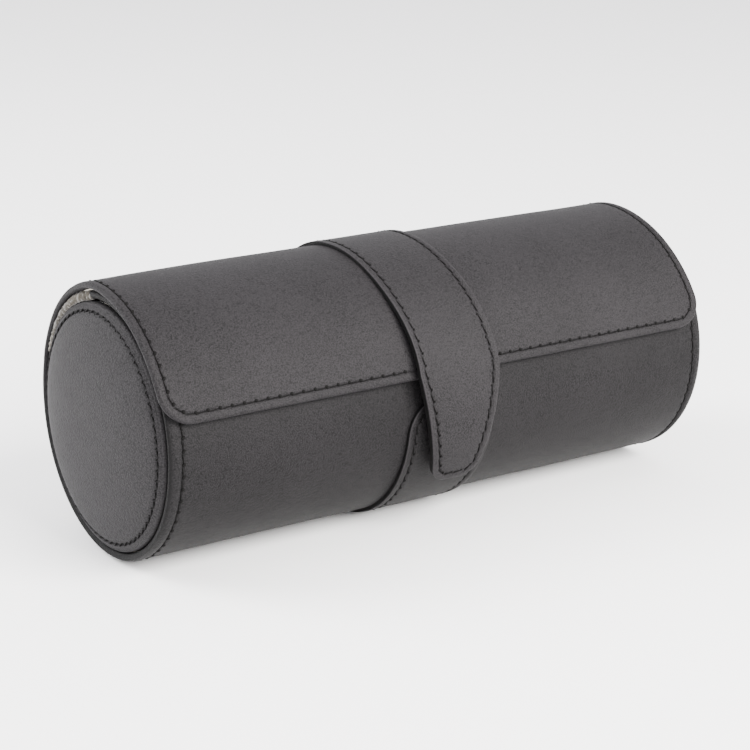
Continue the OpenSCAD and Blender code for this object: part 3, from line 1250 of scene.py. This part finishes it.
def make_ends():
    ring = [
        (RING_R * math.cos(t), RING_R * math.sin(t))
        for t in np.linspace(0, 2 * math.pi, 180, endpoint=False)
    ]
    disc = make_end_disc()
    seam = sew("end_seam", ring, RING_X - 0.2, **RING_STITCH)
    back = make_end_facing()
    for side in (LEFT, RIGHT):
        name = SIDE_NAMES[side]
        cover = copy_of(disc, name + "_end_padding")
        stitches = copy_of(seam, name + "_end_stitches")
        facing = copy_of(back, name + "_end_suede")
        for piece in (cover, stitches, facing):
            to_end(piece, side)
        finish_piece(cover, END_LEATHER, "case_body")
        finish_piece(stitches, THREAD, "case_body", angle=80)
        finish_piece(facing, SUEDE, "case_body")
        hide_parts(name + "_end_cover", name + "_end_pad")
        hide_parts(name + "_end_lining")
    for piece in (disc, seam, back):
        drop(piece)


def gap_over_end(side, along):
    """The room between the lid's sheet and the padded end, at lengths along the sheet."""
    y, z = SHEET_WAY.place(along, np.full(len(along), -SHEET_T))
    over_end = np.hypot(y, z - AXIS_H + END_DROP) - END_R
    return np.maximum(over_end + lid_dip(np.full(len(along), side * 99.0), along), 0.4)


def make_gathers():
    """The lining's two ends, gathered into a soft roll that fills the gap over each padded end.
    It is shaped lying flat, like the sheets, from the wall's free edge toward the fold, and it
    narrows as the lid comes down onto the end."""
    first, last = 64.5, 110.0
    for side in (LEFT, RIGHT):
        piece = begin(
            SIDE_NAMES[side] + "_gathers",
            bpy.ops.mesh.primitive_cylinder_add,
            vertices=20,
            radius=1,
            depth=2,
        )
        slice_up(spaced(-0.985, 0.985, 0.0185), (0, 0, 1))
        close_up()
        u, v, w = read_points(piece).T
        along = (first + last) / 2 + w * (last - first) / 2
        gap = gap_over_end(side, along)
        closing = np.sqrt(np.clip(1.0 - np.abs(w) ** 12, 0.02, 1))
        stray = np.array([noise.noise(Vector((t / 5, 3.0 * side, 0.5))) for t in along])
        pleat = along / 1.9 + 1.6 * stray + 0.25 * v
        folds = 1 + 0.26 * np.cos(2 * math.pi * pleat) + 0.10 * np.cos(5 * math.pi * pleat + 1)
        half_width = np.interp(along, [66, 80, 110], [1.7, 1.35, 0.8]) * closing
        outermost = np.interp(along, [64, 70, 78, 92, 110], [98.8, 99.9, 100.7, 101.0, 101.1])
        x = side * (outermost - half_width) + u * half_width * folds
        over = -SHEET_T - gap / 2 + v * (gap / 2 + 0.25) * closing * (0.5 + 0.5 * folds)
        over = np.maximum(over, -SHEET_T - gap)
        write_points(piece, np.column_stack([x, along, over]))
        wrap(piece, SHEET_WAY, LID_SKEW, lift=lid_dip)
        # painted shade: the gathers take a much darker copy of the lining suede
        finish_piece(piece, GATHERS_SUEDE_IN_SHADE, "lid", angle=60)


# ---- Watch cushions and dividers, which stand square to the middle of the mouth ----

MOUTH_UP = outward(MOUTH_A)
MOUTH_ACROSS = Vector((0, MOUTH_UP.z, -MOUTH_UP.y))


def into_mouth(piece, x, up=0.0):
    """Moves a piece made with x along the tube, y across the mouth and z out of it, in metres."""
    centre = Vector((x, 0, AXIS_H)) + MOUTH_UP * up
    turn = Matrix((Vector((1, 0, 0)), MOUTH_ACROSS, MOUTH_UP)).transposed().to_4x4()
    piece.data.transform(Matrix.Translation(centre * MM) @ turn)


def inflate(piece, cap):
    """Fills a closed piece by a little pressure. No point moves further than cap."""
    frames = 20
    cloth = piece.modifiers.new("cloth", "CLOTH")
    cloth.settings.quality = 6
    cloth.settings.mass = 0.2
    cloth.settings.tension_stiffness = 12
    cloth.settings.compression_stiffness = 12
    cloth.settings.bending_stiffness = 0.4
    cloth.settings.use_pressure = True
    cloth.settings.uniform_pressure_force = 4
    cloth.settings.effector_weights.gravity = 0
    cloth.collision_settings.use_collision = False
    cloth.point_cache.frame_start, cloth.point_cache.frame_end = 1, frames
    start = read_points(piece)
    for at in range(1, frames + 1):
        bpy.context.scene.frame_set(at)
    bpy.context.view_layer.objects.active = piece
    bpy.ops.object.modifier_apply(modifier="cloth")
    bpy.context.scene.frame_set(1)
    move = read_points(piece) - start
    length = np.linalg.norm(move, axis=1)[:, None]
    write_points(piece, start + move * np.minimum(1, cap / np.maximum(length, 1e-9)))


def apply(piece, kind, **settings):
    """Adds a modifier and applies it."""
    made = piece.modifiers.new(kind.lower(), kind)
    for label, value in settings.items():
        setattr(made, label, value)
    take(piece)
    bpy.ops.object.modifier_apply(modifier=made.name)


def pinch_ends(piece):
    """Draws a cushion in along the seam before each end, and lets its sides swell unevenly."""
    points = read_points(piece)
    seam_x = (CUSHION_LEN / 2 - 3.5) * MM
    near = np.exp(-(((np.abs(points[:, 0]) - seam_x) / 0.0011) ** 2))
    across = points * np.array([0, 1, 1])
    reach = np.linalg.norm(across, axis=1)[:, None]
    points -= across / np.maximum(reach, 1e-9) * (near * (reach[:, 0] > 0.012))[:, None] * 0.0009
    points += across * (sway(points / MM, 9.0, 0.35, 4.0) * MM)[:, None] / np.maximum(reach, 0.01)
    write_points(piece, points)


def make_cushion():
    """A round-backed pillow, filled until it is full, with a pinched seam at each end."""
    shrink = 1.6
    piece = begin(
        "cushion",
        bpy.ops.mesh.primitive_cylinder_add,
        vertices=64,
        radius=CUSHION_W / 2 - shrink,
        depth=CUSHION_LEN - 2 * shrink,
    )
    pick_all()
    bpy.ops.transform.rotate(value=math.pi / 2, orient_axis="Y", center_override=(0, 0, 0))
    mesh = bmesh.from_edit_mesh(piece.data)
    for vertex in mesh.verts:
        vertex.co.z += math.copysign((CUSHION_H - CUSHION_W) / 2, vertex.co.z)
    bmesh.update_edit_mesh(piece.data)
    pick_all()
    bpy.ops.transform.resize(value=(MM, MM, MM))
    close_up()
    apply(piece, "REMESH", mode="VOXEL", voxel_size=0.0035)
    inflate(piece, cap=0.0016)
    apply(piece, "SUBSURF", levels=1, render_levels=1)
    pinch_ends(piece)
    return piece


def make_divider():
    """A suede-covered plate with a straight top, its edges softly rounded."""
    radius = LINING_R - 0.35
    piece = begin(
        "divider", bpy.ops.mesh.primitive_circle_add, vertices=120, radius=radius, fill_type="NGON"
    )
    pick_all()
    bpy.ops.mesh.bisect(
        plane_co=(0, DIVIDER_TOP, 0), plane_no=(0, 1, 0), clear_outer=True, threshold=1e-4
    )
    pick_all()
    bpy.ops.mesh.remove_doubles(threshold=0.6)
    pick_all()
    flat_side = DIVIDER_T - 1.4
    thicken(flat_side)
    bpy.ops.transform.translate(value=(0, 0, -flat_side / 2))
    rounding = [(0, 0), (0.09, 0.35), (0.35, 0.61), (0.8, 0.72), (1.6, 0.70), (2.6, 0.66)]
    for way in (1, -1):
        pick_side(piece, way)
        step_in(rounding)
    slice_up(spaced(-36, 24, 5), (0, 1, 0))
    slice_up(spaced(-35, 35, 5), (1, 0, 0))
    close_up()
    points = read_points(piece)
    points[:, 2] += sway(points, 14.0, 0.12, 9.0)
    write_points(piece, points[:, [2, 0, 1]] * MM)
    return piece


def make_inside():
    cushion, divider = make_cushion(), make_divider()
    for place, name in ((-1, "left"), (0, "middle"), (1, "right")):
        made = copy_of(cushion, name + "_cushion")
        into_mouth(made, place * BAY_STEP, -CUSHION_DROP)
        finish_piece(made, PILLOW_SUEDE, name + "_cushion", angle=60)
        parts = ("_cushion_sleeve", "_cushion_ends", "_cushion_foam")
        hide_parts(*[name + part for part in parts])
    for side in (LEFT, RIGHT):
        made = copy_of(divider, SIDE_NAMES[side] + "_divider_cover")
        into_mouth(made, side * BAY_STEP / 2)
        finish_piece(made, SUEDE, "case_body")
        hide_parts(SIDE_NAMES[side] + "_divider_suede")
    drop(cushion)
    drop(divider)


# ---- Carried-over solids ----


def dress_solids():
    """Gives every solid a procedural material, also where it lies inside."""
    finishes = {
        "board": BOARD,
        "magnet": STEEL,
        "keeper_plate": STEEL,
        "foam": FOAM,
        "suede": SUEDE,
        "lining": SUEDE,
        "sleeve": PILLOW_SUEDE,
        "ends": PILLOW_SUEDE,
        "leather": LEATHER,
        "strap": STRAP_LEATHER,
        "backing": STRAP_LEATHER,
        "cover": END_LEATHER,
        "pad": FOAM,
    }
    for name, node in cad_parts.items():
        finish = next(m for key, m in finishes.items() if name.endswith(key))
        node.data.materials.clear()
        node.data.materials.append(finish)


# ---- Camera, lights and floor ----


def add_camera():
    turn, rise = math.radians(CAMERA_TURN), math.radians(CAMERA_RISE)
    back = Vector((math.sin(turn) * math.cos(rise), -math.cos(turn) * math.cos(rise), math.sin(rise)))
    right = Vector((math.cos(turn), math.sin(turn), 0))
    up = back.cross(right)
    camera = bpy.data.objects.new("camera", bpy.data.cameras.new("camera"))
    bpy.context.scene.collection.objects.link(camera)
    camera.data.lens = LENS
    camera.data.sensor_width = SENSOR
    place = (AXIS + back * CAMERA_AWAY - right * CAMERA_LEFT - up * CAMERA_DOWN) * MM
    camera.matrix_world = Matrix.Translation(place) @ Matrix((right, up, back)).transposed().to_4x4()
    bpy.context.scene.camera = camera


def add_light(name, place, size, power, colour=(1, 1, 1)):
    """A softbox that looks at the case."""
    lamp = bpy.data.lights.new(name, "AREA")
    lamp.shape = "RECTANGLE"
    lamp.size, lamp.size_y = size
    lamp.energy = power
    lamp.color = colour
    made = bpy.data.objects.new(name, lamp)
    bpy.context.scene.collection.objects.link(made)
    made.location = place
    toward = Vector((0, 0, 0.045)) - Vector(place)
    made.rotation_euler = toward.to_track_quat("-Z", "Y").to_euler()


def add_stage():
    world = bpy.data.worlds.new("studio")
    world.use_nodes = True
    sky = world.node_tree.nodes["Background"]
    sky.inputs["Color"].default_value = (0.985, 0.975, 1.0, 1)
    sky.inputs["Strength"].default_value = 2.25
    bpy.context.scene.world = world
    floor = begin("studio_floor", bpy.ops.mesh.primitive_plane_add, size=14)
    close_up()
    paper = Finish("pale_floor", Specular_IOR_Level=0.1)
    paper.set("Base Color", paper.between(paper.noise(0.4), grey(0.90), grey(0.92)))
    paper.set("Roughness", 0.8 + 0.05 * paper.noise(0.2))
    floor.data.materials.append(paper.material)
    floor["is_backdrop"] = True
    add_light("key_softbox", (0.28, -1.08, 0.74), (0.9, 0.7), 84, (1.0, 0.98, 0.95))
    add_light("top_softbox", (0.35, 0.30, 1.2), (1.4, 1.0), 3)
    add_light("side_softbox", (-0.85, 0.60, 0.75), (0.7, 0.7), 30)


add_camera()
add_stage()
dress_solids()
make_case_leather()
make_strap()
make_lining()
make_ends()
make_gathers()
make_inside()

size = {"cad": cad_box, "visual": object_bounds()}
{k: [[float(c) for c in corner] for corner in v] for k, v in size.items()}
